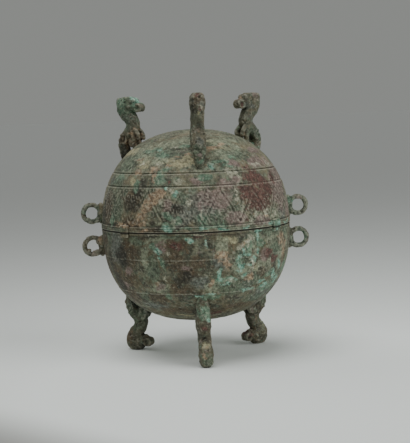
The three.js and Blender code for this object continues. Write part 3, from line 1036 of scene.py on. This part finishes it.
def patina(name, ground_dark, ground_light, ground_warm):
    """Bronze patina: a mottled ground, and over it each kind of corrosion where its stains lie, then
    painted shade in the hollows and the seam and painted highlight on ridges.
    """
    s = Shader(name)
    broad = s.grain(24, 3)
    middle = s.grain(6, 5, 0.65, shift=0.31)
    small = s.grain(2.8, 5, 0.65, shift=0.73)
    grit = s.grain(1.3, 3, 0.6, shift=1.17)
    colour = s.tones(s.step(middle, 0.41, 0.59), ground_dark, ground_light)
    colour = s.mix(s.step(broad, 0.45, 0.65), colour, linear(ground_warm))
    colour = s.tinted(colour, s.attribute("limbs"), 0.5, "4e4a3e")

    def lay(share, dark, light):
        """Covers what is there with a tone of a kind of corrosion."""
        nonlocal colour
        colour = s.mix(share, colour, s.tones(s.step(small, 0.35, 0.65), dark, light))

    def patch(kind, dark, light, breakup, strength, raggedness=2.2):
        """Lays one kind of corrosion where its stains are, broken up by noise and thinning at the edge."""
        broken = s.plus(s.attribute(kind), s.times(s.value("SUBTRACT", breakup, 0.5), raggedness))
        lies = s.times(s.step(broken, 0.3, 0.95), strength)
        lay(lies, dark, light)
        return lies

    def scatter(size, shift, low, high, strength, dark, light):
        """Specks of one kind of corrosion all over."""
        lay(s.times(s.step(s.grain(size, 4, 0.6, shift), low, high), strength), dark, light)

    scatter(5.0, 6.1, 0.53, 0.68, 0.5, "4d5f50", "7c8f78")
    scatter(4.0, 7.3, 0.56, 0.68, 0.45, "6d5a45", "93795a")
    scatter(7.0, 8.7, 0.56, 0.68, 0.4, "5d5150", "7d6d6a")
    patch("slate", "454943", "777c74", middle, 0.8)
    patch("straw", "7f7b5e", "b3ad8a", middle, 0.85)
    patch("sage", "6a715d", "9da48b", middle, 0.7)
    patch("verdigris", "394337", "6c7b66", middle, 0.75)
    patch("umber", "3a3127", "61523f", middle, 0.8)
    patch("mauve", "65554f", "937f79", middle, 0.8)
    patch("char", "24231d", "403e35", middle, 0.85)
    patch("cuprite", "46322c", "6b4b44", s.grain(4.4, 5, 0.6, shift=1.6), 0.95, 1.5)
    patch("earth", "776350", "b59c7e", s.grain(3.6, 5, 0.65, shift=1.9), 0.85, 2.6)
    patch("malachite", "44604f", "7a967d", s.grain(3.4, 5, 0.65, shift=2.3), 0.78)
    green = patch("turquoise", "4b7c6b", "9cc6b1", s.grain(2.8, 5, 0.65, shift=2.9), 0.92)
    patch("cream", "8b8b76", "c9c7b1", s.grain(2.4, 5, 0.65, shift=3.7), 0.72, 3.0)
    scatter(2.2, 9.1, 0.63, 0.72, 0.45, "5b8372", "8fb5a0")
    scatter(1.8, 4.1, 0.63, 0.72, 0.45, "9b9d89", "c4c3b0")
    scatter(2.4, 5.3, 0.61, 0.7, 0.7, "211f1a", "38342c")

    # Painted shade and dirt in the hollows and in the seam, deeper painted shade in broad hollows, painted
    # highlight and rubbed wear on ridges, and a mottle of light and dark tone over all
    hollow = s.attribute("hollow")
    # Painted shade and dirt: small hollows darkened
    colour = s.tinted(colour, s.step(hollow, 0.01, 0.17), 0.55, "29271f")
    # Painted highlight and rubbed wear: ridges lightened
    colour = s.tinted(colour, s.step(s.times(hollow, -1.0), 0.02, 0.17), 0.35, "b0ae9d")
    # Painted shade: broad hollows darkened
    colour = s.tinted(colour, s.step(s.attribute("broad_hollow"), 0.12, 0.9), 0.75, "1f1d17")
    # Painted shade and dirt: the seam between lid and bowl darkened almost to black
    colour = s.tinted(colour, s.attribute("seam"), 0.93, "12110d")
    colour = s.scaled(colour, s.plus(s.times(grit, 1.45), 0.32))
    colour = s.scaled(colour, s.plus(s.times(s.grain(5.5, 4, 0.7, shift=2.61), 1.5), 0.27))

    s.feed(s.surface.inputs["Base Color"], colour)
    dull = s.node("ShaderNodeMapRange")
    s.feed(dull.inputs["Value"], s.plus(small, s.times(green, 0.25)))
    dull.inputs["To Min"].default_value = 0.55
    dull.inputs["To Max"].default_value = 0.92
    s.feed(s.surface.inputs["Roughness"], dull.outputs["Result"])
    s.surface.inputs["Metallic"].default_value = 0.1
    s.surface.inputs["Specular IOR Level"].default_value = 0.35
    bump = s.node("ShaderNodeBump")
    bump.inputs["Strength"].default_value = 0.6
    bump.inputs["Distance"].default_value = 0.5 * MM
    s.feed(bump.inputs["Height"], s.plus(s.times(small, 0.9), s.times(grit, 0.6)))
    s.feed(s.surface.inputs["Normal"], bump.outputs["Normal"])
    return s.material


def dress(piece, node, material):
    piece.data.materials.clear()
    piece.data.materials.append(material)
    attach(piece, "root")
    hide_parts(node)


# The stage: a pale floor, soft light and the photograph's view

EYE = (-88.5, -1192.0, 231.6)
LOOK_AT = (8.87, -0.66, 127.4)
CAMERA_ROLL = -2.12
LENS = 101.24
SENSOR_WIDTH = 36


def make_camera():
    """The photograph's view, rolled a little so that the seam falls to the left."""
    forward = (Vector(LOOK_AT) - Vector(EYE)).normalized()
    level = forward.cross(Vector((0, 0, 1))).normalized()
    upright = level.cross(forward)
    roll = math.radians(CAMERA_ROLL)
    right = level * math.cos(roll) + upright * math.sin(roll)
    up = upright * math.cos(roll) - level * math.sin(roll)
    camera = bpy.data.objects.new("camera", bpy.data.cameras.new("camera"))
    bpy.context.collection.objects.link(camera)
    turn = Matrix((right, up, -forward)).transposed().to_4x4()
    camera.matrix_world = Matrix.Translation(Vector(EYE) * MM) @ turn
    camera.data.lens = LENS
    camera.data.sensor_width = SENSOR_WIDTH
    camera.data.clip_start = 0.01
    bpy.context.scene.camera = camera


# The floor's measures are in metres
FLOOR_RADIUS = 60
# A painted pool of light: its middle, its radius and how fast it fades
BRIGHT_MIDDLE = (0.07, -0.14, 0)
BRIGHT_RADIUS = 0.22
FADE_LENGTH = 0.58
# A painted shadow over the front left corner: its direction, where it starts and ends, and its strength
CORNER_SIDE = (-0.763, -0.646, 0)
CORNER_REACH = (0.245, 0.335)
CORNER_SHADE = 0.85


def make_floor():
    """A wide pale floor with a painted pool of light round the vessel that fades to the backdrop's grey
    away from it, and a painted shadow over one corner.
    """
    deselect_all()
    bpy.ops.mesh.primitive_circle_add(vertices=96, radius=FLOOR_RADIUS, fill_type="NGON")
    floor = bpy.context.object
    floor.name = "floor"
    s = Shader("floor_paper")
    # Painted pool of light: the floor is lightest round a point near the vessel and fades to grey beyond it
    away = s.node("ShaderNodeVectorMath", operation="DISTANCE")
    s.feed(away.inputs[0], s.place)
    away.inputs[1].default_value = BRIGHT_MIDDLE
    beyond = s.value("MAXIMUM", s.value("SUBTRACT", away.outputs["Value"], BRIGHT_RADIUS), 0.0)
    near = s.value("EXPONENT", s.times(beyond, -1 / FADE_LENGTH))
    paper = s.tinted(linear("f5faf7"), s.grain(0.7, 2), 0.06, "e0e5e2")
    # Painted shadow: a soft dark wedge over the front left corner
    corner = s.node("ShaderNodeVectorMath", operation="DOT_PRODUCT")
    s.feed(corner.inputs[0], s.place)
    corner.inputs[1].default_value = CORNER_SIDE
    paper = s.tinted(paper, s.step(corner.outputs["Value"], *CORNER_REACH), CORNER_SHADE, "8b8a86")
    s.feed(s.surface.inputs["Base Color"], s.mix(near, linear("8d8f8d"), paper))
    s.surface.inputs["Roughness"].default_value = 0.85
    s.surface.inputs["Specular IOR Level"].default_value = 0.1
    floor.data.materials.append(s.material)


LIGHTS = [
    # name, the direction that the light comes from, power, softness in degrees
    ("overhead", (-0.2, -0.2, 1), 1.55, 42),
    ("front_right", (1.1, -0.8, 0.7), 1.02, 45),
    ("behind_left", (-0.8, 0.6, 0.9), 0.3, 40),
]


def make_light(name, source, power, softness):
    """A soft distant light."""
    lamp = bpy.data.lights.new(name, "SUN")
    lamp.energy = power
    lamp.angle = math.radians(softness)
    light = bpy.data.objects.new(name, lamp)
    bpy.context.collection.objects.link(light)
    light.matrix_world = Vector(source).normalized().to_track_quat("Z", "Y").to_matrix().to_4x4()


def make_backdrop():
    """An even grey all round, which also lights the shaded sides."""
    world = bpy.data.worlds.new("studio")
    bpy.context.scene.world = world
    world.use_nodes = True
    backdrop = world.node_tree.nodes["Background"]
    backdrop.inputs["Color"].default_value = linear("8b8d8a")
    backdrop.inputs["Strength"].default_value = 1.0


lid = place_half(LID)
bowl = place_half(BOWL)
dress(lid, "lid", patina("lid_patina_and_painted_shade", "4c5042", "767a66", "7a745d"))
dress(bowl, "bowl", patina("bowl_patina_and_painted_shade", "424237", "6e6f5c", "5f5843"))
make_camera()
make_floor()
for light_settings in LIGHTS:
    make_light(*light_settings)
make_backdrop()
